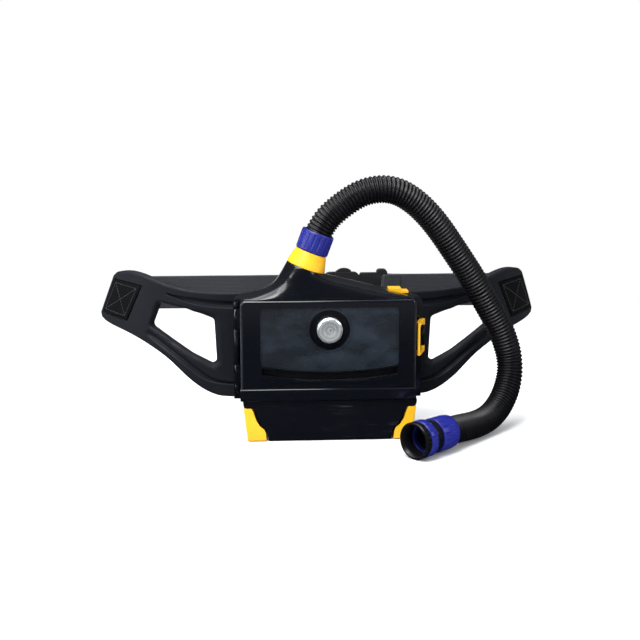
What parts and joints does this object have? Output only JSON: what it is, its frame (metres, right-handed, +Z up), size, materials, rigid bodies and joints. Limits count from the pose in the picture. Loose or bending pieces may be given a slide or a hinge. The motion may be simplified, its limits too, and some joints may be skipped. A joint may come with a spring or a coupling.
{
  "type": "powered air respirator",
  "caption": "Belt-worn powered air respirator: blower with hinged filter cover standing on its battery, windowed hip belt, corrugated breathing hose with quick couplings.",
  "frame": {"origin": "middle of the bounding box of the unit and belt without the hose, on the plane that the battery stands on", "axes": "+Z up, the filter cover faces -Y, +X towards the latch side of the cover"},
  "size_m": [0.6618, 0.3252, 0.3601],
  "materials": {
    "housing_black": "glossy moulded blue-black plastic with light handling marks",
    "signal_yellow": "semi-gloss moulded yellow plastic",
    "coupling_blue": "semi-gloss moulded blue plastic",
    "hose_black": "glossy black corrugated elastomer",
    "cuff_black": "satin black plastic",
    "turned_metal": "face-turned with fine concentric rings",
    "steel": "plain steel",
    "brass": "plain brass",
    "foam_grey": "satin closed-cell moulded skin",
    "pad_fabric": "black knitted mesh over foam",
    "webbing_black": "ribbed polyester webbing",
    "buckle_black": "satin black acetal",
    "filter_white": "white filter felt",
    "inner_grey": "dark grey moulded plastic",
    "seal_rubber": "soft black rubber",
    "board_green": "solder-masked board",
    "cell_blue": "shrink-wrapped cells"
  },
  "bodies": {
    "unit": {"belt_plate": "buckle_black", "belt_screws": "steel", "belt_wing_left": "foam_grey", "belt_wing_right": "foam_grey", "buckle_socket": "buckle_black", "button_spring": "steel", "buzzer": "inner_grey", "contact_block": "inner_grey", "contact_pins": "brass", "control_board": "board_green", "filter_frame": "inner_grey", "filter_gasket": "seal_rubber", "filter_media": "filter_white", "front_housing": "housing_black", "hinge_pin": "steel", "hose": "hose_black", "housing_screws": "steel", "latch_pin": "steel", "lock_nut": "brass", "lower_cuff": "cuff_black", "lower_sleeve": "coupling_blue", "lumbar_pad": "pad_fabric", "motor_bearings": "steel", "motor_mount": "inner_grey", "motor_screws": "steel", "mouth_ring": "coupling_blue", "outlet_collar": "signal_yellow", "outlet_seal": "seal_rubber", "prefilter": "filter_white", "rear_housing": "housing_black", "scroll_casing": "inner_grey", "scroll_lid": "inner_grey", "spark_arrestor": "steel", "stator": "steel", "upper_cuff": "cuff_black", "webbing_anchor_left": "webbing_black", "webbing_anchor_right": "webbing_black", "webbing_left": "webbing_black", "webbing_right": "webbing_black"},
    "cover": {"filter_cover": "housing_black"},
    "lock": {"lock_disc": "turned_metal", "lock_clip": "steel"},
    "latch": {"cover_latch": "signal_yellow"},
    "fan": {"impeller": "inner_grey", "rotor_cup": "inner_grey", "motor_shaft": "steel"},
    "button": {"power_button": "signal_yellow"},
    "battery": {"battery_case": "housing_black", "battery_lid": "housing_black", "battery_terminals": "brass", "battery_cells": "cell_blue", "cell_board": "board_green", "charge_socket": "inner_grey", "latch_spring_left": "steel", "latch_spring_right": "steel"},
    "latch_left": {"battery_latch_left": "signal_yellow"},
    "latch_right": {"battery_latch_right": "signal_yellow"},
    "top_ring": {"upper_coupling": "coupling_blue"},
    "mouth_lock": {"lower_lock_ring": "coupling_blue"},
    "buckle": {"buckle_plug": "buckle_black"}
  },
  "joints": [
    {"name": "cover_swing", "type": "hinge", "parent": "unit", "child": "cover", "pos_m": [-0.123, -0.066, 0.125], "axis": [0, 0, -1], "range_deg": [0, 105]},
    {"name": "lock_turn", "type": "hinge", "parent": "cover", "child": "lock", "pos_m": [0.0025, -0.1, 0.155], "axis": [0, -1, 0], "range_deg": [-90, 0]},
    {"name": "latch_swing", "type": "hinge", "parent": "unit", "child": "latch", "pos_m": [0.1335, -0.066, 0.139], "axis": [0, 0, 1], "range_deg": [0, 70]},
    {"name": "fan_spin", "type": "hinge", "parent": "unit", "child": "fan", "pos_m": [-0.045, -0.045, 0.118], "axis": [0, 1, 0], "continuous": true},
    {"name": "button_press", "type": "slide", "parent": "unit", "child": "button", "axis": [0, 0, -1], "range_m": [0, 0.0015], "stiffness_N_per_m": 400, "deforming": ["button_spring"]},
    {"name": "battery_drop", "type": "slide", "parent": "unit", "child": "battery", "axis": [0, 0, -1], "range_m": [0, 0.06]},
    {"name": "latch_left_press", "type": "slide", "parent": "battery", "child": "latch_left", "axis": [1, 0, 0], "range_m": [0, 0.0025], "stiffness_N_per_m": 800, "deforming": ["latch_spring_left"]},
    {"name": "latch_right_press", "type": "slide", "parent": "battery", "child": "latch_right", "axis": [-1, 0, 0], "range_m": [0, 0.0025], "stiffness_N_per_m": 800, "deforming": ["latch_spring_right"]},
    {"name": "top_ring_turn", "type": "hinge", "parent": "unit", "child": "top_ring", "pos_m": [-0.01569, -0.071, 0.26992], "axis": [0.3502, 0, 0.9367], "range_deg": [0, 45]},
    {"name": "mouth_lock_turn", "type": "hinge", "parent": "unit", "child": "mouth_lock", "pos_m": [0.11726, -0.18671, 0.0253], "axis": [0.766, 0.6428, 0], "range_deg": [0, 45]},
    {"name": "buckle_slide", "type": "slide", "parent": "unit", "child": "buckle", "axis": [1, 0, 0], "range_m": [0, 0.045], "deforming": ["webbing_right"]}
  ]
}
